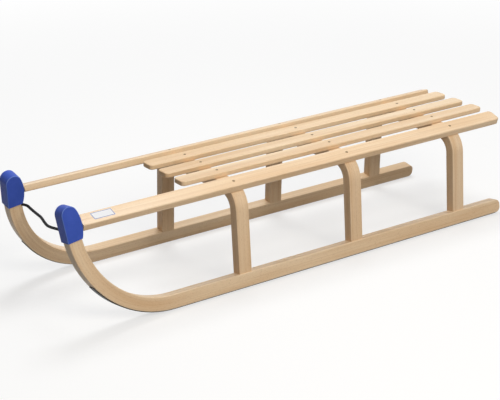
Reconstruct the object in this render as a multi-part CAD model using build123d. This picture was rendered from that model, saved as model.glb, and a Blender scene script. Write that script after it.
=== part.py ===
"""Davos sled: bent beech runners with horns, three bent yokes, five seat slats, horn caps and a cord.

Millimetres, +X forward, +Y to the rider's left, +Z up. The pieces are drawn with x = 0 at the middle yoke
and z = 0 at the lowest wood, then moved so that the origin is the centre of the sled's footprint.
"""

import os
from math import cos, degrees, radians, sin, tan

from build123d import *

# Driving sizes along the sled
yoke_pitch = 286
slat_rear_overhang = 134
inner_slat_front_overhang = 94
runner_rear_overhang = 120
bend_start_overhang = 172.5

# Runners, in a plane that leans in at the top; the horn's end stands a rise above the outer slats' underside
runner_track = 299
runner_width = 25
runner_height = 29
runner_cant = 9.5
runner_edge_round = 2
runner_end_round = 12
bend_radius = 198
bend_angle = 83.7
horn_rise = 29.4

# Shoes under the runners
shoe_width = 19
shoe_thickness = 1.5
shoe_wrap_angle = 53
shoe_edge_round = 0.5

# Yokes and their tenons
seat_height = 224.3
yoke_width = 30.5
yoke_thickness = 23
yoke_inset = 1.3
yoke_splay = 3.5
yoke_bend_radius = 53
yoke_edge_round = 2
tenon_width = 18
tenon_thickness = 11
tenon_length = 16
tenon_side_clearance = 0.15
tenon_end_clearance = 0.5

# Slats; the inner ones stand at a share of the way from the centre to the outer ones
slat_width = 35
slat_thickness = 10.8
slat_edge_round = 2.5
slat_corner_round = 9
inner_slat_share = 0.517
outer_slat_thickness = 14.5
outer_slat_drop = 9.3
outer_slat_tilt = 16.5
tongue_width = 20

# Horn caps
cap_height = 68.5
cap_wall = 2.4
cap_side_wall = 2.4
cap_rim_wall = 1
cap_clearance = 0.2
cap_shoulder_angle = 158
cap_edge_round = 2.2

# Cord between the horns, each end in a blind bore that opens at the back of the horn, towards the inside
cord_diameter = 6
cord_bore_clearance = 0.2
cord_bore_angle = 35
cord_below_cap = 4
cord_end_reach = 4
cord_out_reach = 25
run_share = 0.45

# Where the cord lies between its ends, from right to left: x, y, z
cord_middle = [
    (632.5, -86, 175.4),
    (633, -62, 173.2),
    (634, -42, 172.9),
    (637, -26, 169.9),
    (639, -10, 166.9),
    (639, 6, 167.9),
    (637, 28, 171.4),
    (634, 58, 174.2),
    (632.5, 86, 175.7),
]

# Lines that the sizes above give
cant = radians(runner_cant)
bend = radians(bend_angle)
front_yoke_x = yoke_pitch
yoke_places = {"rear": -yoke_pitch, "middle": 0, "front": front_yoke_x}
slat_rear_x = -yoke_pitch - slat_rear_overhang
runner_rear_x = -yoke_pitch - runner_rear_overhang
bend_start_x = front_yoke_x + bend_start_overhang
runner_centre_z = runner_height / 2 * cos(cant) + runner_width / 2 * sin(cant)
runner_frame = Pos(0, runner_track / 2, runner_centre_z) * Rot(runner_cant, 0, 0)
yoke_top_z = seat_height - slat_thickness
outer_slat_z = yoke_top_z - outer_slat_drop
slat_lean = radians(outer_slat_tilt)
outer_slat_middle_z = outer_slat_z + outer_slat_thickness / 2 * cos(slat_lean)
outer_slat_middle_y = runner_track / 2 - tan(cant) * (outer_slat_middle_z - runner_centre_z)
outer_slat_y = outer_slat_middle_y - outer_slat_thickness / 2 * sin(slat_lean)
outer_slat_frame = Pos(0, outer_slat_y, outer_slat_z) * Rot(-outer_slat_tilt, 0, 0)
slat_pitch = inner_slat_share * outer_slat_y
bend_end_x = bend_start_x + bend_radius * sin(bend)
bend_end_z = bend_radius * (1 - cos(bend))
horn_frame = runner_frame * Pos(bend_end_x, 0, bend_end_z) * Rot(0, 90 - bend_angle, 0)
horn_end_z = (outer_slat_z + horn_rise - runner_centre_z) / cos(cant)
horn_straight = (horn_end_z - bend_end_z) / sin(bend)
cap_radius = runner_height / 2 + cap_clearance + cap_wall
cap_width = runner_width + 2 * (cap_clearance + cap_side_wall)
cap_bottom = horn_straight + cap_radius - cap_height
beyond = 2 * runner_track


def mirrored(piece):
    """The same piece on the rider's right."""
    return mirror(piece, about=Plane.XZ)


def side_face_edges(piece, width):
    """Edges that lie in the two flat sides of a piece drawn in the XZ plane."""
    tolerance = width / 1000
    return [edge for edge in piece.edges() if abs(abs(edge.center().Y) - width / 2) < tolerance]


def upright(edges, width):
    """A solid from a closed outline in the XZ plane, with its width across Y."""
    return extrude(Plane.XZ * make_face(edges), amount=width / 2, both=True)


def bent_line(offset, last_angle):
    """The arc of the bend, an offset below the runner's centre line, and its end point."""
    centre = (bend_start_x, bend_radius)
    radius = bend_radius + offset
    arc = CenterArc(centre, radius, -90, last_angle)
    turn = radians(last_angle)
    return arc, (centre[0] + radius * sin(turn), centre[1] - radius * cos(turn))


def runner_blank(extra=0.0):
    """Straight runner, bend and horn with a round end, grown by an extra all round, in the runner's plane."""
    half = runner_height / 2 + extra
    rear, end_round = runner_rear_x - extra, runner_end_round + extra
    along = (cos(bend) * horn_straight, sin(bend) * horn_straight)
    sole_arc, sole_end = bent_line(half, bend_angle)
    top_arc, top_end = bent_line(-half, bend_angle)
    sole_tip = (sole_end[0] + along[0], sole_end[1] + along[1])
    top_tip = (top_end[0] + along[0], top_end[1] + along[1])
    tip_centre = ((sole_tip[0] + top_tip[0]) / 2, (sole_tip[1] + top_tip[1]) / 2)
    outline = [
        Line((rear + end_round, -half), (bend_start_x, -half)),
        sole_arc,
        Line(sole_end, sole_tip),
        CenterArc(tip_centre, half, bend_angle - 90, 180),
        Line(top_tip, top_end),
        top_arc,
        Line((bend_start_x, half), (rear + end_round, half)),
        CenterArc((rear + end_round, half - end_round), end_round, 90, 90),
        Line((rear, half - end_round), (rear, end_round - half)),
        CenterArc((rear + end_round, end_round - half), end_round, 180, 90),
    ]
    return upright(outline, runner_width + 2 * extra)


def runner():
    """Runner with rounded edges, a mortise for each yoke and a cord bore in the horn."""
    blank = runner_blank()
    body = runner_frame * fillet(side_face_edges(blank, runner_width), runner_edge_round)
    for place in yoke_places.values():
        body -= tenon(place, tenon_side_clearance, tenon_end_clearance)
    return body - cord_bore()


def shoe():
    """Strip under the sole, from behind the rear yoke to part of the way up the bend."""
    half = runner_height / 2
    back = runner_rear_x + runner_end_round
    inner_arc, inner_end = bent_line(half, shoe_wrap_angle)
    outer_arc, outer_end = bent_line(half + shoe_thickness, shoe_wrap_angle)
    outline = [
        Line((back, -half), (bend_start_x, -half)),
        inner_arc,
        Line(inner_end, outer_end),
        outer_arc,
        Line((bend_start_x, -half - shoe_thickness), (back, -half - shoe_thickness)),
        Line((back, -half - shoe_thickness), (back, -half)),
    ]
    strip = upright(outline, shoe_width)
    strip = fillet(side_face_edges(strip, shoe_width), shoe_edge_round)
    return runner_frame * strip


def tenon(place, side_clearance=0.0, end_clearance=0.0):
    """Tongue on a yoke's foot that goes down into the runner, square to its top."""
    rise = yoke_thickness / 4
    depth = tenon_length + end_clearance
    middle = runner_height / 2 + (rise - depth) / 2
    block = Box(tenon_width + 2 * side_clearance, tenon_thickness + 2 * side_clearance, rise + depth)
    return runner_frame * Pos(place, 0, middle) * block


def leg_line(side, height):
    """Y of a leg's outer (side 1) or inner (side -1) face at a height."""
    splay = radians(yoke_splay)
    foot_y = runner_track / 2 - runner_height / 2 * sin(cant) - yoke_inset
    foot_z = runner_centre_z + runner_height / 2 * cos(cant)
    return foot_y + side * yoke_thickness / 2 / cos(splay) - tan(splay) * (height - foot_z)


def trapezoid(side, top, corner):
    """Face between the legs' outer or inner lines, up to a height, with round top corners."""
    low = runner_centre_z - runner_height
    wide, narrow = leg_line(side, low), leg_line(side, top)
    face = make_face(Polyline((-wide, low), (-narrow, top), (narrow, top), (wide, low), close=True))
    corners = [vertex for vertex in face.vertices() if vertex.Y > (low + top) / 2]
    return fillet(corners, corner)


def yoke(place):
    """Bent arch with splayed legs, planed shoulders under the outer slats and a tenon on each foot."""
    outside = trapezoid(1, yoke_top_z, yoke_bend_radius)
    inside = trapezoid(-1, yoke_top_z - yoke_thickness, yoke_bend_radius - yoke_thickness)
    arch = extrude(Plane.YZ * (outside - inside), amount=yoke_width / 2, both=True)
    long_edges = [edge for edge in arch.edges() if abs(abs(edge.center().X) - yoke_width / 2) < yoke_width / 1000]
    arch = fillet(long_edges, yoke_edge_round)
    under_foot = runner_frame * Pos(0, 0, (runner_height - beyond) / 2) * Box(yoke_pitch, beyond / 2, beyond)
    above_seat = outer_slat_frame * Pos(0, 0, beyond / 2) * Box(yoke_pitch, runner_track / 2, beyond)
    for cutter in (under_foot, above_seat):
        arch = arch - cutter - mirrored(cutter)
    foot = tenon(0)
    return Pos(place, 0, 0) * (arch + foot + mirrored(foot))


def board(front, thickness, front_round):
    """Slat to its front end, its underside at z = 0 and its edges rounded, the front ones where asked."""
    middle = (slat_rear_x + front) / 2
    blank = Pos(middle, 0, thickness / 2) * Box(front - slat_rear_x, slat_width, thickness)
    corners = blank.edges().filter_by(Axis.Z).group_by(Axis.X)
    rounded = list(corners[0]) + (list(corners[-1]) if front_round else [])
    blank = fillet(rounded, slat_corner_round)
    tolerance = thickness / 1000
    flat = [
        edge
        for edge in blank.edges()
        if abs(abs(edge.center().Z - thickness / 2) - thickness / 2) < tolerance
        and (front_round or edge.center().X < front - tolerance)
    ]
    return fillet(flat, slat_edge_round)


def horn_line(length):
    """Frame on the runner's centre line, a length above the end of the bend or, if negative, back round it."""
    if length >= 0:
        return horn_frame * Pos(0, 0, length)
    angle = bend_angle + degrees(length / bend_radius)
    turn = radians(angle)
    place = Pos(bend_start_x + bend_radius * sin(turn), 0, bend_radius * (1 - cos(turn)))
    return runner_frame * place * Rot(0, 90 - angle, 0)


def rim_point(out):
    """Point of a cap's rim in the horn's plane, a distance out to the front of the runner's centre line."""
    if cap_bottom >= 0:
        return (out, cap_bottom)
    turn = -cap_bottom / bend_radius
    return ((bend_radius + out) * cos(turn) - bend_radius, -(bend_radius + out) * sin(turn))


def hood(width, extra=0.0):
    """Outer form of a cap in the horn's plane, grown by an extra: a dome, a bulged back and a rim."""
    radius = cap_radius + extra
    front = rim_point(radius)
    back = rim_point(-runner_height / 2 - cap_clearance - cap_rim_wall - extra)
    shoulder = radians(cap_shoulder_angle)
    shoulder_point = (radius * cos(shoulder), horn_straight + radius * sin(shoulder))
    outline = [
        CenterArc((0, horn_straight), radius, 0, cap_shoulder_angle),
        TangentArc(shoulder_point, back, tangent=(-sin(shoulder), cos(shoulder))),
        Line(back, front),
    ]
    straight_from = max(cap_bottom, 0)
    if cap_bottom < 0:
        turn = degrees(-cap_bottom / bend_radius)
        outline.append(CenterArc((-bend_radius, 0), bend_radius + radius, -turn, turn))
    outline.append(Line((radius, straight_from), (radius, horn_straight)))
    return upright(outline, width)


def tongue_tip_x():
    """X of the runner's centre line at the height of an outer slat."""
    level = (outer_slat_z + outer_slat_thickness / 2 - runner_centre_z) / cos(cant)
    if level >= bend_end_z:
        return bend_end_x + (level - bend_end_z) / tan(bend)
    return bend_start_x + (bend_radius**2 - (bend_radius - level) ** 2) ** 0.5


def tongue(clearance=0.0):
    """Narrow front end of an outer slat, from behind the cap to the back of the horn."""
    root = (horn_frame * hood(cap_width)).bounding_box().min.X - slat_width
    tip = tongue_tip_x()
    block = Box(tip - root, tongue_width + 2 * clearance, outer_slat_thickness + 2 * clearance)
    block = outer_slat_frame * Pos((root + tip) / 2, 0, outer_slat_thickness / 2) * block
    return block - runner_frame * runner_blank()


def outer_slat():
    """Slat that runs on to the horn: coped to the cap's back, with a tongue through it to the horn."""
    full = outer_slat_frame * board(tongue_tip_x(), outer_slat_thickness, False)
    return full - horn_frame * hood(beyond, cap_clearance) + tongue()


def horn_cap():
    """Hood over the horn's end, open at the rim and at the back where the outer slat's tongue comes in."""
    form = hood(cap_width)
    rim_edges = form.faces().sort_by(Axis.Z)[0].edges()
    rim_centres = [edge.center() for edge in rim_edges]
    tolerance = cap_wall / 10
    shown = [
        edge
        for edge in side_face_edges(form, cap_width)
        if min((edge.center() - centre).length for centre in rim_centres) > tolerance
    ]
    form = fillet(shown, cap_edge_round)
    return horn_frame * form - runner_frame * runner_blank(cap_clearance) - tongue(cap_clearance)


def bore_frame(reach):
    """Place on the left cord bore's axis, a distance out from the horn's centre line."""
    return horn_line(cap_bottom - cord_below_cap) * Rot(0, 0, cord_bore_angle) * Pos(-reach, 0, 0)


def cord_bore():
    """Blind bore from the horn's centre line out through its back."""
    radius = cord_diameter / 2 + cord_bore_clearance
    return bore_frame(cord_out_reach / 2) * Rot(0, 90, 0) * Cylinder(radius, cord_out_reach)


def cord():
    """Cord tube of straight runs and arcs from the right horn's bore to the left one's."""
    ends = [bore_frame(reach).position for reach in (cord_out_reach, cord_end_reach)]
    left = [Vector(end.X, end.Y, end.Z) for end in ends]
    right = [Vector(end.X, -end.Y, end.Z) for end in reversed(ends)]
    route = right + [Vector(*point) for point in cord_middle] + left
    runs = [after - before for before, after in zip(route, route[1:])]
    radii = []
    for before, after in zip(runs, runs[1:]):
        half_turn = radians(before.get_angle(after)) / 2
        radii.append(run_share * min(before.length, after.length) / tan(half_turn))
    line = FilletPolyline(*route, radius=radii)
    print("cord radii", [round(radius) for radius in radii], "length", round(line.length))
    section = Plane(origin=line @ 0, z_dir=line % 0) * Circle(cord_diameter / 2)
    return sweep(section, path=line)


pieces = {}
for end, place in yoke_places.items():
    pieces[f"yoke_{end}"] = yoke(place)
inner_slats = {"slat_inner_left": slat_pitch, "slat_centre": 0, "slat_inner_right": -slat_pitch}
for name, across in inner_slats.items():
    front = front_yoke_x + inner_slat_front_overhang
    pieces[name] = Pos(0, across, yoke_top_z) * board(front, slat_thickness, True)
sided = {"runner": runner, "runner_shoe": shoe, "slat_outer": outer_slat, "horn_cap": horn_cap}
for name, make in sided.items():
    left = make()
    pieces[f"{name}_left"] = left
    pieces[f"{name}_right"] = mirrored(left)

boxes = [piece.bounding_box() for piece in pieces.values()]
rear_end = min(box.min.X for box in boxes)
front_end = max(box.max.X for box in boxes)
lowest = min(box.min.Z for box in boxes)
to_origin = Pos(-(rear_end + front_end) / 2, 0, -lowest)
pieces["pull_cord"] = cord()

os.makedirs("parts", exist_ok=True)
for name, piece in pieces.items():
    export_step(to_origin * piece, f"parts/{name}.step")
print("length", front_end - rear_end, "moved", to_origin.position)
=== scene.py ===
"""Davos sled: beech, moulded caps, coated shoes, braided cord, screws and a blank label on the frame."""

from collections import namedtuple
from functools import partial
from math import cos, pi, radians, sin, tan

import bmesh
import bpy
from mathutils import Matrix, Vector


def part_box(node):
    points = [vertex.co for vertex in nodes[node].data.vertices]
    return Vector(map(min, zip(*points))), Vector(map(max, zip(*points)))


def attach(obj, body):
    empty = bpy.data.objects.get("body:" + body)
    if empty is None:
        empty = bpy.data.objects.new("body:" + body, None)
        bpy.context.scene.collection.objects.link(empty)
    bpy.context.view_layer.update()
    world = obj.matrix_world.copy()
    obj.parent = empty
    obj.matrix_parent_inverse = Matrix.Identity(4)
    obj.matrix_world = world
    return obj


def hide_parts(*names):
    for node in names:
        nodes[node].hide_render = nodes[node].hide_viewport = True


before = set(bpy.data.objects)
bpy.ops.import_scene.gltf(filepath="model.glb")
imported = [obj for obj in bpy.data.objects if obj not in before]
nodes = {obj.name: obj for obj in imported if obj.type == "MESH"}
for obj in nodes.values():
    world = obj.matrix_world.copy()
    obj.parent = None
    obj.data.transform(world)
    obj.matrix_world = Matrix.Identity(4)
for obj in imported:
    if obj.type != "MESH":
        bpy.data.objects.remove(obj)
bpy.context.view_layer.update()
scene = bpy.context.scene

# Where the photograph was taken from, in metres and radians, and its frame in pixels
CAMERA_PLACE = (1.81227, 2.5577, 1.31167)
CAMERA_YAW = -0.60708
CAMERA_PITCH = 0.36728
CAMERA_ROLL = 0.01443
FOCAL_PIXELS = 1580.65
FRAME_PIXELS = 500
SENSOR_MM = 36

# The pieces of the frame: those in pairs end in the name of their side
SIDES = {"left": 1, "right": -1}
YOKES = ("yoke_rear", "yoke_middle", "yoke_front")
INNER_SLATS = ("slat_inner_left", "slat_centre", "slat_inner_right")

# Places and angles on the sled that the grain and the fittings follow, in metres
RUNNER_CANT = radians(9.5)
RUNNER_HALF_TRACK = 0.1495
RUNNER_CENTRE_Z = 0.01727
BEND_START_X = 0.32987
BEND_RADIUS = 0.198
YOKE_BEND_Y = 0.0963
YOKE_BEND_Z = 0.1614
YOKE_BEND_RADIUS = 0.0415
YOKE_SPLAY = radians(3.5)
SLAT_TILT = radians(16.5)
OUTER_SLAT_TOP = (0.11896, 0.21901)

# Half width and half thickness of the wooden pieces' sections, in metres
RUNNER_HALF = (0.0125, 0.0145)
YOKE_HALF = (0.01525, 0.0115)
INNER_SLAT_HALF = (0.0175, 0.0054)
OUTER_SLAT_HALF = (0.0175, 0.00725)

# End grain shows only behind the bend's start, which slats give in x and runners along their grain
SLAT_END_LIMIT = BEND_START_X
RUNNER_END_LIMIT = 0.0

# The cord's size and its route from horn to horn, in metres, and how finely the route is followed
CORD_DIAMETER = 0.006
CORD_ROUTE = [
    (0.5219, -0.1199, 0.1804),
    (0.5049, -0.1075, 0.1812),
    (0.5039, -0.0860, 0.1763),
    (0.5044, -0.0620, 0.1741),
    (0.5054, -0.0420, 0.1738),
    (0.5084, -0.0260, 0.1708),
    (0.5104, -0.0100, 0.1678),
    (0.5104, 0.0060, 0.1688),
    (0.5084, 0.0280, 0.1723),
    (0.5054, 0.0580, 0.1751),
    (0.5039, 0.0860, 0.1766),
    (0.5049, 0.1075, 0.1812),
    (0.5219, 0.1199, 0.1804),
]
ROUTE_STEPS = 24

# The cord's braid, in metres: the level and the swing say how far a strand dips under the next one
BRAID_STEP = 0.0004
BRAID_SIDES = 48
BRAID_STRANDS = 4
BRAID_PITCH = 0.016
BRAID_RELIEF = 0.00055
BRAID_LEVEL = 0.72
BRAID_SWING = 0.28

# Screw heads, in metres: the rim is in shares of radius and rise, the turn from head to head in radians
SCREW_RADIUS = 0.0028
SCREW_RISE = 0.0004
SCREW_RIM = [(1.0, -1.0), (1.0, 0.2), (0.94, 0.8), (0.86, 1.0)]
SCREW_SEGMENTS = 32
SCREW_TURN = 1.1
CROSS_LENGTH = 0.0019
CROSS_WIDTH = 0.00042
CROSS_DEPTH = 0.0004
CROSS_TAPER = 0.8

# The label's place along and across the slat, and its three layers, in metres
LABEL_X = (0.4335, 0.4795)
LABEL_ACROSS = (-0.0118, 0.0092)
LABEL_MARGIN = 0.0006
LABEL_LINE = 0.0013
LABEL_CORNER = 0.0022
LABEL_BASE_TOP = 0.00025
LABEL_LINE_TOP = 0.0003
LABEL_FIELD_TOP = 0.00035
CORNER_STEPS = 6

# A layer of noise: its scales on a piece's three axes, its seed, and its look
Layer = namedtuple("Layer", "scales seed detail roughness distortion", defaults=(0.55, 0.0))
BLACK = (0, 0, 0)
WHITE = (1, 1, 1)

# Beech colours, the ramp of its tones, and the tints that set pieces apart
BEECH_PALE = (0.87, 0.705, 0.51)
BEECH_MIDDLE = (0.81, 0.61, 0.395)
BEECH_WARM = (0.69, 0.455, 0.25)
BEECH_LINE = (0.50, 0.29, 0.135)
BEECH_FLECK = (0.42, 0.23, 0.10)
BEECH_END = (0.44, 0.26, 0.12)
# The paler edge colour is partly rubbed varnish and partly a painted highlight
BEECH_RUBBED_AND_HIGHLIGHT = (0.90, 0.75, 0.56)
BEECH_TONES = [(0.30, BEECH_WARM), (0.50, BEECH_MIDDLE), (0.70, BEECH_PALE)]
YOKE_TINT = (0.97, 0.93, 0.90)
BEECH_TINTS = [
    (1.0, 1.0, 1.0),
    (0.975, 0.96, 0.935),
    (1.0, 0.985, 0.955),
    (0.985, 0.98, 0.985),
    (0.99, 0.965, 0.94),
]

# Beech noise along, across and into the grain, and the step of seed from piece to piece
TONE_NOISE = Layer(scales=(2.2, 24, 24), seed=0, detail=2)
BAND_NOISE = Layer(scales=(1.4, 95, 95), seed=7, detail=3, roughness=0.5, distortion=0.5)
LINE_NOISE = Layer(scales=(2.4, 270, 270), seed=13, detail=3, roughness=0.6, distortion=0.3)
STREAK_NOISE = Layer(scales=(9, 620, 620), seed=19, detail=4, roughness=0.6)
FLECK_NOISE = Layer(scales=(240, 1500, 1500), seed=29, detail=1)
RUB_AND_HIGHLIGHT_NOISE = Layer(scales=(35, 160, 160), seed=31, detail=4, roughness=0.65)
PIECE_SEED = 3.7

# Beech marks: the range over which each comes in, and its shares of the colour and the relief
BAND_RANGE, BAND_SHARE = (0.44, 0.66), 0.45
LINE_RANGE, LINE_SHARE, LINE_RELIEF = (0.50, 0.64), 0.30, 0.3
FLECK_RANGE, FLECK_SHARE, FLECK_RELIEF = (0.60, 0.70), 0.35, 0.5
STREAK_SHARES, STREAK_RELIEF = (-0.15, 0.45), 0.7
END_RANGE, END_SHARE = (0.80, 0.95), 0.6
# Paler, rougher edges: the roughness is rubbed varnish, and the paler colour is partly rubbed varnish and
# partly a painted highlight
RUB_AND_HIGHLIGHT_RANGE, RUB_AND_HIGHLIGHT_SHARE, RUB_ROUGHNESS = (0.36, 0.60), 0.55, 0.12
EDGE_BREADTH = 0.0035
BEECH_ROUGHNESS = (0.34, 0.52)
BEECH_BUMP = {"Distance": 0.0002, "Strength": 0.7}
BEECH_GLOSS = {"Specular IOR Level": 0.2, "Coat Weight": 0.1, "Coat Roughness": 0.25}

# Cap plastic: the edge's stops go from the flat rim over the rounded edge to the flat side, where a paler
# blue is laid on as a painted highlight
CAP_TONES = [(0.3, (0.043, 0.092, 0.44)), (0.7, (0.057, 0.111, 0.53))]
CAP_SCUFFED = (0.16, 0.22, 0.54)
CAP_PAINTED_HIGHLIGHT = (0.20, 0.31, 0.70)
CAP_CLOUD_NOISE = Layer(scales=(28, 28, 28), seed=3, detail=3)
CAP_GRIT_NOISE = Layer(scales=(1900, 1900, 1900), seed=5, detail=2)
CAP_SCUFF_NOISE = Layer(scales=(320, 320, 60), seed=11, detail=5, roughness=0.7)
CAP_SCUFF_RANGE, CAP_SCUFF_SHARE = (0.64, 0.74), 0.16
CAP_EDGE_STOPS = [(0.12, BLACK), (0.40, WHITE), (0.85, WHITE), (0.985, BLACK)]
CAP_HIGHLIGHT_SHARES = (0.15, 0.85)
CAP_ROUGHNESS = (0.36, 0.52)
CAP_BUMP = {"Distance": 0.00012, "Strength": 0.6}
CAP_GLOSS = {"Specular IOR Level": 0.1}

# Shoe steel
SHOE_TONES = [(0.3, (0.010, 0.010, 0.011)), (0.75, (0.026, 0.026, 0.028))]
SHOE_SCRATCHED = (0.09, 0.09, 0.095)
SHOE_CLOUD_NOISE = Layer(scales=(40, 120, 120), seed=9, detail=3)
SHOE_SCRATCH_NOISE = Layer(scales=(14, 1600, 1600), seed=2, detail=4, roughness=0.65)
SHOE_SCRATCH_RANGE, SHOE_SCRATCH_SHARE = (0.60, 0.72), 0.35
SHOE_ROUGHNESS = (0.52, 0.30)
SHOE_BUMP = {"Distance": 0.00006, "Strength": 0.6}
SHOE_GLOSS = {"Metallic": 0.25, "Specular IOR Level": 0.15}

# Cord fibre
CORD_TONES = [(0.3, (0.006, 0.006, 0.007)), (0.75, (0.030, 0.030, 0.033))]
CORD_FIBRE_NOISE = Layer(scales=(1700, 900, 1700), seed=4, detail=3, roughness=0.7)
CORD_ROUGHNESS = (0.80, 0.55)
CORD_BUMP = {"Distance": 0.0001, "Strength": 0.5}
CORD_GLOSS = {"Sheen Weight": 0.08, "Specular IOR Level": 0.15}

# Screw metal
SCREW_TONES = [(0.3, (0.10, 0.065, 0.03)), (0.7, (0.22, 0.15, 0.08))]
SCREW_CLOUD_NOISE = Layer(scales=(900, 900, 900), seed=6, detail=3)
SCREW_ROUGHNESS = (0.30, 0.50)
SCREW_GLOSS = {"Metallic": 0.85}

# Label vinyl
LABEL_WHITE_TONES = [(0.3, (0.67, 0.68, 0.71)), (0.7, (0.72, 0.73, 0.75))]
LABEL_BLUE_TONES = [(0.3, (0.06, 0.10, 0.32)), (0.7, (0.09, 0.14, 0.38))]
LABEL_MOTTLE_NOISE = Layer(scales=(700, 700, 700), seed=8, detail=3)
LABEL_ROUGHNESS = (0.28, 0.42)
LABEL_GLOSS = {"Specular IOR Level": 0.2}

# The floor: the colour that shows, the colour that lights the sled, and a glow that grows away from it
FLOOR_SIZE = 40.0
FLOOR_SEEN = (0.93, 0.93, 0.93)
FLOOR_BOUNCE = (0.20, 0.20, 0.20)
FLOOR_GLOW_REACH = (0.7, 2.4)
FLOOR_GLOW_SHARES = (0.60, 1.0)

# The world's strength on the sled, its slope along x, y and z, and its strength where it shows
WORLD_LIGHT = 0.22
WORLD_SLOPE = (-0.11, 0.08, 0.11)
WORLD_SEEN = 1.0

# The lamps, in metres and watts
LAMPS = {
    "key": {"place": (-0.4, -0.75, 2.4), "size": 0.9, "power": 32, "colour": (0.96, 0.98, 1.0)},
    "side": {"place": (0.4, 2.7, 2.2), "size": 1.8, "power": 67, "colour": (1.0, 0.94, 0.85)},
}


def set_sockets(node, values):
    """Sets constants on a node's inputs, by name."""
    for name, value in values.items():
        node.inputs[name].default_value = value


def calc(tree, operation, *values):
    """A maths node on sockets or plain numbers, and its result."""
    node = tree.nodes.new("ShaderNodeMath")
    node.operation = operation
    for socket, value in zip(node.inputs, values):
        if isinstance(value, (int, float)):
            socket.default_value = value
        else:
            tree.links.new(value, socket)
    return node.outputs[0]


def times(tree, first, second):
    """The product of two values."""
    return calc(tree, "MULTIPLY", first, second)


def minus(tree, first, second):
    """The first value less the second."""
    return calc(tree, "SUBTRACT", first, second)


def distance(tree, first, second):
    """The straight distance over two parts that are square to each other."""
    squares = [calc(tree, "POWER", side, 2.0) for side in (first, second)]
    return calc(tree, "SQRT", calc(tree, "ADD", *squares))


def mapped(tree, value, from_range=(0.0, 1.0), to_range=(0.0, 1.0)):
    """A value moved from one range to another and held inside it."""
    node = tree.nodes.new("ShaderNodeMapRange")
    limits = ("From Min", "From Max", "To Min", "To Max")
    set_sockets(node, dict(zip(limits, (*from_range, *to_range))))
    tree.links.new(value, node.inputs["Value"])
    return node.outputs[0]


def split_axes(tree, vector):
    """The three parts of a vector."""
    split = tree.nodes.new("ShaderNodeSeparateXYZ")
    tree.links.new(vector, split.inputs[0])
    return split.outputs


def coordinates(tree, kind):
    """The three parts of one kind of texture coordinate."""
    return split_axes(tree, tree.nodes.new("ShaderNodeTexCoord").outputs[kind])


def place_axes(tree):
    """The x, y and z of a surface point in the sled's frame."""
    return coordinates(tree, "Object")


def turned(tree, out, up, angle):
    """The across and depth axes of a section that is turned by an angle."""
    across = calc(tree, "ADD", times(tree, out, cos(angle)), times(tree, up, sin(angle)))
    depth = minus(tree, times(tree, up, cos(angle)), times(tree, out, sin(angle)))
    return across, depth


def board_grain(tree, middle, tilt):
    """Along, across and depth for a board that lies along the sled, from the middle of its section."""
    x, y, z = place_axes(tree)
    out, up = minus(tree, y, middle[0]), minus(tree, z, middle[1])
    return x, *turned(tree, out, up, tilt)


def runner_grain(tree):
    """Along, across and depth for a runner, turning with its bend."""
    x, y, z = place_axes(tree)
    out = minus(tree, calc(tree, "ABSOLUTE", y), RUNNER_HALF_TRACK)
    side, rise = turned(tree, out, minus(tree, z, RUNNER_CENTRE_Z), RUNNER_CANT)
    ahead = minus(tree, x, BEND_START_X)
    round_part = calc(tree, "MAXIMUM", ahead, 0.0)
    straight_part = calc(tree, "MINIMUM", ahead, 0.0)
    drop = minus(tree, BEND_RADIUS, rise)
    turn = times(tree, calc(tree, "ARCTAN2", round_part, drop), BEND_RADIUS)
    along = calc(tree, "ADD", straight_part, turn)
    return along, side, minus(tree, BEND_RADIUS, distance(tree, round_part, drop))


def yoke_grain(tree, middle):
    """Along, across and depth for a yoke, turning with its two bends, from the middle of its section."""
    x, y, z = place_axes(tree)
    out = minus(tree, calc(tree, "ABSOLUTE", y), YOKE_BEND_Y)
    up = minus(tree, z, YOKE_BEND_Z)
    out_part, up_part = calc(tree, "MAXIMUM", out, 0.0), calc(tree, "MAXIMUM", up, 0.0)
    leg_part = calc(tree, "MINIMUM", up, 0.0)
    top_part = times(tree, calc(tree, "MINIMUM", out, 0.0), -1.0)
    splay = calc(tree, "MULTIPLY_ADD", leg_part, tan(YOKE_SPLAY), -YOKE_BEND_RADIUS)
    depth = calc(tree, "ADD", distance(tree, out_part, up_part), splay)
    turn = times(tree, calc(tree, "ARCTAN2", up_part, out_part), YOKE_BEND_RADIUS)
    along = calc(tree, "ADD", calc(tree, "ADD", leg_part, turn), top_part)
    return along, minus(tree, x, middle), depth


def noise(tree, axes, layer, piece_seed=0.0):
    """A layer of noise on a piece's axes, moved by the layer's seed and the piece's own."""
    joined = tree.nodes.new("ShaderNodeCombineXYZ")
    for socket, axis, scale in zip(joined.inputs, axes, layer.scales):
        tree.links.new(calc(tree, "MULTIPLY_ADD", axis, scale, piece_seed + layer.seed), socket)
    node = tree.nodes.new("ShaderNodeTexNoise")
    look = {"Detail": layer.detail, "Roughness": layer.roughness, "Distortion": layer.distortion}
    set_sockets(node, {"Scale": 1.0, **look})
    tree.links.new(joined.outputs[0], node.inputs["Vector"])
    return node.outputs["Fac"]


def ramp(tree, value, stops):
    """A colour ramp with stops of (position, colour)."""
    node = tree.nodes.new("ShaderNodeValToRGB")
    band = node.color_ramp
    while len(band.elements) < len(stops):
        band.elements.new(0.5)
    for element, (position, colour) in zip(band.elements, stops):
        element.position = position
        element.color = (*colour, 1.0)
    tree.links.new(value, node.inputs[0])
    return node.outputs[0]


def mask(tree, value, limits):
    """0 below the lower limit, 1 above the upper one, and a ramp between them."""
    return ramp(tree, value, list(zip(limits, (BLACK, WHITE))))


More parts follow.
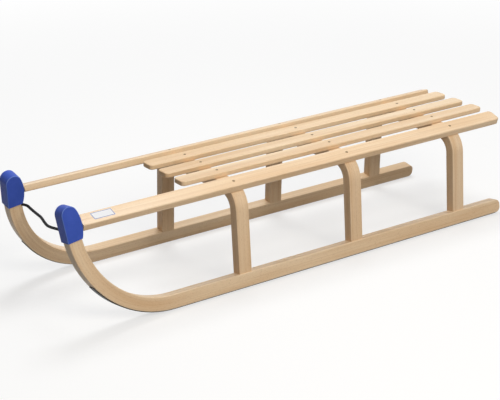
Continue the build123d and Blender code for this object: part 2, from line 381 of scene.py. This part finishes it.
def mix(tree, share, first, second, blend="MIX"):
    """One colour mixed into another by a share, which is a socket or a number."""
    node = tree.nodes.new("ShaderNodeMix")
    node.data_type = "RGBA"
    node.blend_type = blend
    for socket, value in zip((node.inputs[0], node.inputs[6], node.inputs[7]), (share, first, second)):
        if isinstance(value, (int, float)):
            socket.default_value = value
        elif isinstance(value, tuple):
            socket.default_value = (*value, 1.0)
        else:
            tree.links.new(value, socket)
    return node.outputs[2]


def cover(tree, base, colour, amount, share):
    """A base colour with another laid over it, by a share of an amount."""
    return mix(tree, times(tree, amount, share), base, colour)


def bump(tree, height, settings):
    """The normal of a bump with a real height in metres."""
    node = tree.nodes.new("ShaderNodeBump")
    set_sockets(node, settings)
    tree.links.new(height, node.inputs["Height"])
    return node.outputs[0]


def new_material(name):
    """An empty node material, its tree and its surface shader."""
    material = bpy.data.materials.new(name)
    material.use_nodes = True
    tree = material.node_tree
    return material, tree, tree.nodes["Principled BSDF"]


def finish(tree, shader, gloss, colour, roughness, normal=None):
    """Links a material's colour, roughness and bump to its shader, and sets its constants there."""
    set_sockets(shader, gloss)
    tree.links.new(colour, shader.inputs["Base Color"])
    tree.links.new(roughness, shader.inputs["Roughness"])
    if normal is not None:
        tree.links.new(normal, shader.inputs["Normal"])


def near_edge(tree, axes, halves):
    """1 on the long edges of a piece, falling to 0 away from them."""
    shares = []
    for axis, half in zip(axes, halves):
        shares.append(mapped(tree, calc(tree, "ABSOLUTE", axis), from_range=(half - EDGE_BREADTH, half)))
    return times(tree, *shares)


def end_grain(tree, along, limit):
    """1 on faces square to the grain behind a limit along it, otherwise 0."""
    facing = tree.nodes.new("ShaderNodeNewGeometry")
    ahead, _, _ = split_axes(tree, facing.outputs["True Normal"])
    square = mask(tree, calc(tree, "ABSOLUTE", ahead), END_RANGE)
    return times(tree, square, calc(tree, "LESS_THAN", along, limit))


def beech(name, grain, halves, end_limit, seed, tint):
    """Varnished beech: bands, lines and short flecks along the grain, dark end grain, and paler, rougher
    edges that are partly rubbed varnish and partly a painted highlight.
    """
    material, tree, shader = new_material(name)
    axes = grain(tree)
    tone = noise(tree, axes, TONE_NOISE, seed)
    bands = mask(tree, noise(tree, axes, BAND_NOISE, seed), BAND_RANGE)
    lines = mask(tree, noise(tree, axes, LINE_NOISE, seed), LINE_RANGE)
    streak = noise(tree, axes, STREAK_NOISE, seed)
    flecks = mask(tree, noise(tree, axes, FLECK_NOISE, seed), FLECK_RANGE)
    paler_edge_share = mask(tree, noise(tree, axes, RUB_AND_HIGHLIGHT_NOISE, seed), RUB_AND_HIGHLIGHT_RANGE)
    # Edges where the varnish is rubbed rougher, and where a painted highlight makes them paler
    worn = times(tree, near_edge(tree, axes[1:], halves), paler_edge_share)
    colour = ramp(tree, tone, BEECH_TONES)
    colour = cover(tree, colour, BEECH_WARM, bands, BAND_SHARE)
    colour = cover(tree, colour, BEECH_LINE, lines, LINE_SHARE)
    colour = mix(tree, mapped(tree, streak, to_range=STREAK_SHARES), colour, BEECH_PALE)
    colour = cover(tree, colour, BEECH_FLECK, flecks, FLECK_SHARE)
    if end_limit is not None:
        colour = cover(tree, colour, BEECH_END, end_grain(tree, axes[0], end_limit), END_SHARE)
    # Paler edges: partly rubbed varnish and partly a painted highlight
    colour = cover(tree, colour, BEECH_RUBBED_AND_HIGHLIGHT, worn, RUB_AND_HIGHLIGHT_SHARE)
    colour = mix(tree, 1.0, colour, tint, "MULTIPLY")
    rough = mapped(tree, streak, to_range=BEECH_ROUGHNESS)
    rough = calc(tree, "MULTIPLY_ADD", worn, RUB_ROUGHNESS, rough)
    relief = minus(tree, times(tree, streak, STREAK_RELIEF), times(tree, flecks, FLECK_RELIEF))
    relief = minus(tree, relief, times(tree, lines, LINE_RELIEF))
    finish(tree, shader, BEECH_GLOSS, colour, rough, bump(tree, relief, BEECH_BUMP))
    return material


def cap_highlight_edges(tree, side):
    """1 on the rounded edges between a cap's flat sides and its rim, from the way the surface faces:
    where the painted highlight goes.
    """
    _, y, z = coordinates(tree, "Normal")
    across, _ = turned(tree, times(tree, y, side), z, RUNNER_CANT)
    return ramp(tree, calc(tree, "ABSOLUTE", across), CAP_EDGE_STOPS)


def cap_plastic(name, side):
    """Blue moulded plastic with a fine spark-eroded grain, scuffed patches and a painted highlight of
    paler blue on the rounded edges.
    """
    material, tree, shader = new_material(name)
    axes = place_axes(tree)
    cloud = noise(tree, axes, CAP_CLOUD_NOISE)
    grit = noise(tree, axes, CAP_GRIT_NOISE)
    scuff = noise(tree, axes, CAP_SCUFF_NOISE)
    colour = ramp(tree, cloud, CAP_TONES)
    colour = cover(tree, colour, CAP_SCUFFED, mask(tree, scuff, CAP_SCUFF_RANGE), CAP_SCUFF_SHARE)
    # Painted highlight: the rounded edges are mixed towards a paler blue, with a strength that follows
    # the scuff noise
    paler_edge_share = times(tree, cap_highlight_edges(tree, side), mapped(tree, scuff, to_range=CAP_HIGHLIGHT_SHARES))
    colour = mix(tree, paler_edge_share, colour, CAP_PAINTED_HIGHLIGHT)
    rough = mapped(tree, grit, to_range=CAP_ROUGHNESS)
    finish(tree, shader, CAP_GLOSS, colour, rough, bump(tree, grit, CAP_BUMP))
    return material


def shoe_steel():
    """Black coated steel strip, scratched along the way it slides."""
    material, tree, shader = new_material("shoe_steel")
    axes = runner_grain(tree)
    scratch = noise(tree, axes, SHOE_SCRATCH_NOISE)
    colour = ramp(tree, noise(tree, axes, SHOE_CLOUD_NOISE), SHOE_TONES)
    worn = mask(tree, scratch, SHOE_SCRATCH_RANGE)
    colour = cover(tree, colour, SHOE_SCRATCHED, worn, SHOE_SCRATCH_SHARE)
    rough = mapped(tree, scratch, to_range=SHOE_ROUGHNESS)
    finish(tree, shader, SHOE_GLOSS, colour, rough, bump(tree, scratch, SHOE_BUMP))
    return material


def cord_fibre():
    """Black polyester fibre with a faint sheen."""
    material, tree, shader = new_material("cord_fibre")
    fibre = noise(tree, place_axes(tree), CORD_FIBRE_NOISE)
    rough = mapped(tree, fibre, to_range=CORD_ROUGHNESS)
    finish(tree, shader, CORD_GLOSS, ramp(tree, fibre, CORD_TONES), rough, bump(tree, fibre, CORD_BUMP))
    return material


def screw_metal():
    """Dark zinc screw heads, cloudy and slightly stained."""
    material, tree, shader = new_material("screw_metal")
    cloud = noise(tree, place_axes(tree), SCREW_CLOUD_NOISE)
    rough = mapped(tree, cloud, to_range=SCREW_ROUGHNESS)
    finish(tree, shader, SCREW_GLOSS, ramp(tree, cloud, SCREW_TONES), rough)
    return material


def label_vinyl(name, tones):
    """Printed vinyl with a slight mottle."""
    material, tree, shader = new_material(name)
    mottle = noise(tree, place_axes(tree), LABEL_MOTTLE_NOISE)
    rough = mapped(tree, mottle, to_range=LABEL_ROUGHNESS)
    finish(tree, shader, LABEL_GLOSS, ramp(tree, mottle, tones), rough)
    return material


def dress(node, material):
    """Gives a CAD node its finish."""
    node.data.materials.clear()
    node.data.materials.append(material)


def wood_pieces():
    """Each wooden piece's name, grain, half section, and where its end grain stops along it."""
    for name in INNER_SLATS:
        low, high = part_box(name)
        middle = ((low.y + high.y) / 2, (low.z + high.z) / 2)
        yield name, partial(board_grain, middle=middle, tilt=0.0), INNER_SLAT_HALF, SLAT_END_LIMIT
    sink = OUTER_SLAT_HALF[1]
    middle_y = OUTER_SLAT_TOP[0] - sink * sin(SLAT_TILT)
    middle_z = OUTER_SLAT_TOP[1] - sink * cos(SLAT_TILT)
    for side_name, side in SIDES.items():
        grain = partial(board_grain, middle=(side * middle_y, middle_z), tilt=-side * SLAT_TILT)
        yield "slat_outer_" + side_name, grain, OUTER_SLAT_HALF, SLAT_END_LIMIT
    for name in YOKES:
        low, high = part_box(name)
        yield name, partial(yoke_grain, middle=(low.x + high.x) / 2), YOKE_HALF, None
    for side_name in SIDES:
        yield "runner_" + side_name, runner_grain, RUNNER_HALF, RUNNER_END_LIMIT


def dress_wood():
    """Each wooden piece is cut from its own stock, so each has its own seed, and tints take turns."""
    for index, (name, grain, halves, end_limit) in enumerate(wood_pieces()):
        tint = YOKE_TINT if name in YOKES else BEECH_TINTS[index % len(BEECH_TINTS)]
        dress(nodes[name], beech("beech_" + name, grain, halves, end_limit, PIECE_SEED * index, tint))


def dress_caps_and_shoes():
    """The caps and the shoes of both sides get their finish."""
    steel = shoe_steel()
    for side_name, side in SIDES.items():
        dress(nodes["horn_cap_" + side_name], cap_plastic("cap_plastic_" + side_name, side))
        dress(nodes["runner_shoe_" + side_name], steel)


def bridge(mesh, first, second):
    """Faces between two closed rings that have as many points."""
    for index in range(len(first)):
        following = (index + 1) % len(first)
        mesh.faces.new((first[index], first[following], second[following], second[index]))


def ring_edges(mesh, ring):
    """The edges round a closed ring of points."""
    return [mesh.edges.get(pair) for pair in zip(ring, ring[1:] + ring[:1])]


def finished_mesh(name, mesh):
    """The mesh data of a piece that has been built."""
    data = bpy.data.meshes.new(name)
    mesh.to_mesh(data)
    mesh.free()
    return data


def add_mesh(name, mesh, material):
    """A mesh piece of the sled, with its finish, riding on the sled's one body."""
    piece = bpy.data.objects.new(name, mesh)
    scene.collection.objects.link(piece)
    piece.data.materials.append(material)
    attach(piece, "root")
    return piece


def cord_line():
    """Points along the cord's smooth route."""
    curve = bpy.data.curves.new("cord_route", "CURVE")
    curve.dimensions = "3D"
    curve.resolution_u = ROUTE_STEPS
    spline = curve.splines.new("NURBS")
    spline.points.add(len(CORD_ROUTE) - 1)
    for point, place in zip(spline.points, CORD_ROUTE):
        point.co = (*place, 1.0)
    spline.order_u = 3
    spline.use_endpoint_u = True
    holder = bpy.data.objects.new("cord_route", curve)
    line = bpy.data.meshes.new_from_object(holder)
    points = [vertex.co.copy() for vertex in line.vertices]
    bpy.data.objects.remove(holder)
    bpy.data.curves.remove(curve)
    bpy.data.meshes.remove(line)
    return points


def even_points(points, step):
    """The same line with points at even steps, by straight interpolation."""
    spaced, left = [points[0].copy()], step
    for before, after in zip(points, points[1:]):
        run = (after - before).length
        done = 0.0
        while run - done >= left:
            done += left
            spaced.append(before.lerp(after, done / run))
            left = step
        left -= run - done
    return spaced


def braid_height(angle, along):
    """Height of a braid of strands that cross over and under each other, from 0 to 1."""
    turn = 2 * pi * along / BRAID_PITCH * BRAID_STRANDS
    one, other = BRAID_STRANDS * angle + turn, BRAID_STRANDS * angle - turn
    swing = BRAID_SWING * cos((one + other) / 2) * cos((one - other) / 2)
    over, under = BRAID_LEVEL + swing, BRAID_LEVEL - swing
    return max(abs(cos(one / 2)) * over, abs(cos(other / 2)) * under)


def braid_ring(mesh, point, side, across, along):
    """A ring of points round the cord, as high as the braid is there."""
    ring = []
    for step in range(BRAID_SIDES):
        angle = 2 * pi * step / BRAID_SIDES
        relief = BRAID_RELIEF * (braid_height(angle, along) - 1)
        out = side * cos(angle) + across * sin(angle)
        ring.append(mesh.verts.new(point + out * (CORD_DIAMETER / 2 + relief)))
    return ring


def add_cord(material):
    """The braided cord as a mesh tube along its route."""
    points = even_points(cord_line(), BRAID_STEP)
    mesh = bmesh.new()
    side = Vector((0, 0, 1))
    rings = []
    for index, point in enumerate(points):
        ahead = points[min(index + 1, len(points) - 1)] - points[max(index - 1, 0)]
        ahead.normalize()
        side = (side - ahead * side.dot(ahead)).normalized()
        rings.append(braid_ring(mesh, point, side, ahead.cross(side), index * BRAID_STEP))
    for before, after in zip(rings, rings[1:]):
        bridge(mesh, before, after)
    mesh.faces.new(reversed(rings[0]))
    mesh.faces.new(rings[-1])
    for face in mesh.faces:
        face.smooth = True
    piece = add_mesh("braided_cord", finished_mesh("braided_cord", mesh), material)
    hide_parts("pull_cord")
    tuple(CORD_ROUTE[1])


def screw_head_mesh():
    """A flat countersunk head with a rounded rim and a cross recess, its seat at z = 0."""
    mesh = bmesh.new()
    angles = [2 * pi * step / SCREW_SEGMENTS for step in range(SCREW_SEGMENTS)]
    rings = []
    for radius_share, rise_share in SCREW_RIM:
        radius, height = SCREW_RADIUS * radius_share, SCREW_RISE * rise_share
        places = [(radius * cos(angle), radius * sin(angle), height) for angle in angles]
        rings.append([mesh.verts.new(place) for place in places])
    for low, high in zip(rings, rings[1:]):
        bridge(mesh, low, high)
    mesh.faces.new(reversed(rings[0]))
    arms = [(CROSS_LENGTH, -CROSS_WIDTH), (CROSS_LENGTH, CROSS_WIDTH), (CROSS_WIDTH, CROSS_WIDTH)]
    outline = []
    for quarter in range(4):
        turn = Matrix.Rotation(quarter * pi / 2, 3, "Z")
        outline += [turn @ Vector((x, y, SCREW_RISE)) for x, y in arms]
    top = [mesh.verts.new(place) for place in outline]
    depth = SCREW_RISE - CROSS_DEPTH
    floor = [mesh.verts.new((place.x * CROSS_TAPER, place.y * CROSS_TAPER, depth)) for place in outline]
    bridge(mesh, top, floor)
    mesh.faces.new(floor)
    edges = ring_edges(mesh, rings[-1]) + ring_edges(mesh, top)
    bmesh.ops.triangle_fill(mesh, edges=edges, use_beauty=True, normal=(0, 0, 1))
    return finished_mesh("screw_head", mesh)


def slat_frames():
    """The place and tilt of each slat's top over the yokes: node, y, z and tilt about X."""
    for name in INNER_SLATS:
        low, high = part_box(name)
        yield name, (low.y + high.y) / 2, high.z, 0.0
    for side_name, side in SIDES.items():
        yield "slat_outer_" + side_name, side * OUTER_SLAT_TOP[0], OUTER_SLAT_TOP[1], -side * SLAT_TILT


def add_screws(material):
    """One screw through each slat into each yoke."""
    turn = 0.0
    for slat, y, z, tilt in slat_frames():
        for yoke in YOKES:
            low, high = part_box(yoke)
            mesh = screw_head_mesh()
            turn += SCREW_TURN
            place = Matrix.Translation(((low.x + high.x) / 2, y, z))
            mesh.transform(place @ Matrix.Rotation(tilt, 4, "X") @ Matrix.Rotation(turn, 4, "Z"))
            add_mesh(f"screw_{slat}_{yoke}", mesh, material)


def rounded_plate(name, x_range, y_range, bottom, top, corner):
    """A thin plate with round corners."""
    mesh = bmesh.new()
    low_x, high_x = x_range[0] + corner, x_range[1] - corner
    low_y, high_y = y_range[0] + corner, y_range[1] - corner
    corners = ((high_x, high_y), (low_x, high_y), (low_x, low_y), (high_x, low_y))
    outline = []
    for quarter, (x, y) in enumerate(corners):
        for step in range(CORNER_STEPS + 1):
            angle = (quarter + step / CORNER_STEPS) * pi / 2
            outline.append((x + corner * cos(angle), y + corner * sin(angle)))
    upper = [mesh.verts.new((x, y, top)) for x, y in outline]
    lower = [mesh.verts.new((x, y, bottom)) for x, y in outline]
    mesh.faces.new(upper)
    mesh.faces.new(reversed(lower))
    bridge(mesh, lower, upper)
    return finished_mesh(name, mesh)


def add_label():
    """A blank label on the left outer slat: white vinyl with a thin blue line inside its edge."""
    seat = Matrix.Translation((0, *OUTER_SLAT_TOP)) @ Matrix.Rotation(-SLAT_TILT, 4, "X")
    white = label_vinyl("label_white", LABEL_WHITE_TONES)
    blue = label_vinyl("label_blue", LABEL_BLUE_TONES)
    layers = (
        ("label_base", 0.0, LABEL_BASE_TOP, white),
        ("label_line", LABEL_MARGIN, LABEL_LINE_TOP, blue),
        ("label_field", LABEL_MARGIN + LABEL_LINE, LABEL_FIELD_TOP, white),
    )
    for name, inset, top, material in layers:
        x_range = (LABEL_X[0] + inset, LABEL_X[1] - inset)
        across = (LABEL_ACROSS[0] + inset, LABEL_ACROSS[1] - inset)
        mesh = rounded_plate(name, x_range, across, 0.0, top, LABEL_CORNER - inset / 2)
        mesh.transform(seat)
        add_mesh(name, mesh, material)


def seen_ray(tree):
    """1 for rays from the camera, in a reflection or through glass, otherwise 0."""
    path = tree.nodes.new("ShaderNodeLightPath")
    both = calc(tree, "MAXIMUM", path.outputs["Is Camera Ray"], path.outputs["Is Glossy Ray"])
    return calc(tree, "MAXIMUM", both, path.outputs["Is Transmission Ray"])


def diffuse(tree, colour):
    """A plain matt shader."""
    node = tree.nodes.new("ShaderNodeBsdfDiffuse")
    node.inputs["Color"].default_value = (*colour, 1.0)
    return node.outputs[0]


def mix_shaders(tree, share, first, second):
    """One shader mixed into another by a share."""
    node = tree.nodes.new("ShaderNodeMixShader")
    for socket, value in zip(node.inputs, (share, first, second)):
        tree.links.new(value, socket)
    return node.outputs[0]


def add_floor():
    """A plain pale floor that shows white, keeps the sled's shadow and throws little light back."""
    bpy.ops.mesh.primitive_plane_add(size=FLOOR_SIZE)
    floor = bpy.context.object
    floor.name = "floor"
    material, tree, shader = new_material("floor_pale")
    tree.nodes.remove(shader)
    glow = tree.nodes.new("ShaderNodeEmission").outputs[0]
    x, y, _ = place_axes(tree)
    fade = mapped(tree, distance(tree, x, y), FLOOR_GLOW_REACH, FLOOR_GLOW_SHARES)
    shown = mix_shaders(tree, fade, diffuse(tree, FLOOR_SEEN), glow)
    surface = mix_shaders(tree, seen_ray(tree), diffuse(tree, FLOOR_BOUNCE), shown)
    tree.links.new(surface, tree.nodes["Material Output"].inputs["Surface"])
    floor.data.materials.append(material)


def add_world():
    """A pale world that shows white and lights the sled less from ahead, the right and below."""
    world = bpy.data.worlds.new("studio")
    scene.world = world
    world.use_nodes = True
    tree = world.node_tree
    background = tree.nodes["Background"]
    background.inputs["Color"].default_value = (1, 1, 1, 1)
    light = WORLD_LIGHT
    for axis, slope in zip(coordinates(tree, "Generated"), WORLD_SLOPE):
        light = calc(tree, "MULTIPLY_ADD", axis, slope, light)
    seen = seen_ray(tree)
    unseen = minus(tree, 1.0, seen)
    strength = calc(tree, "MULTIPLY_ADD", seen, WORLD_SEEN, times(tree, unseen, light))
    tree.links.new(strength, background.inputs["Strength"])


def add_lamps():
    """Soft studio lamps that face the sled: one above it and a large one on its left."""
    for name, lamp in LAMPS.items():
        data = bpy.data.lights.new(name, "AREA")
        data.size = lamp["size"]
        data.energy = lamp["power"]
        data.color = lamp["colour"]
        holder = bpy.data.objects.new(name, data)
        holder.location = lamp["place"]
        holder.rotation_mode = "QUATERNION"
        holder.rotation_quaternion = (-Vector(lamp["place"])).to_track_quat("-Z", "Y")
        scene.collection.objects.link(holder)


def add_camera():
    """The photograph's camera: turned by its yaw, pitch and roll from its place."""
    ahead = Vector((
        sin(CAMERA_YAW) * cos(CAMERA_PITCH),
        -cos(CAMERA_YAW) * cos(CAMERA_PITCH),
        -sin(CAMERA_PITCH),
    ))
    level = Vector((-cos(CAMERA_YAW), -sin(CAMERA_YAW), 0))
    down = ahead.cross(level)
    right = level * cos(CAMERA_ROLL) + down * sin(CAMERA_ROLL)
    up = level * sin(CAMERA_ROLL) - down * cos(CAMERA_ROLL)
    data = bpy.data.cameras.new("camera")
    data.sensor_width = SENSOR_MM
    data.lens = FOCAL_PIXELS / FRAME_PIXELS * SENSOR_MM
    camera = bpy.data.objects.new("camera", data)
    turn = Matrix((right, up, -ahead)).transposed().to_4x4()
    camera.matrix_world = Matrix.Translation(CAMERA_PLACE) @ turn
    scene.collection.objects.link(camera)
    scene.camera = camera


dress_wood()
dress_caps_and_shoes()
add_cord(cord_fibre())
add_screws(screw_metal())
add_label()
add_floor()
add_world()
add_lamps()
add_camera()
scene.view_settings.view_transform = "Standard"
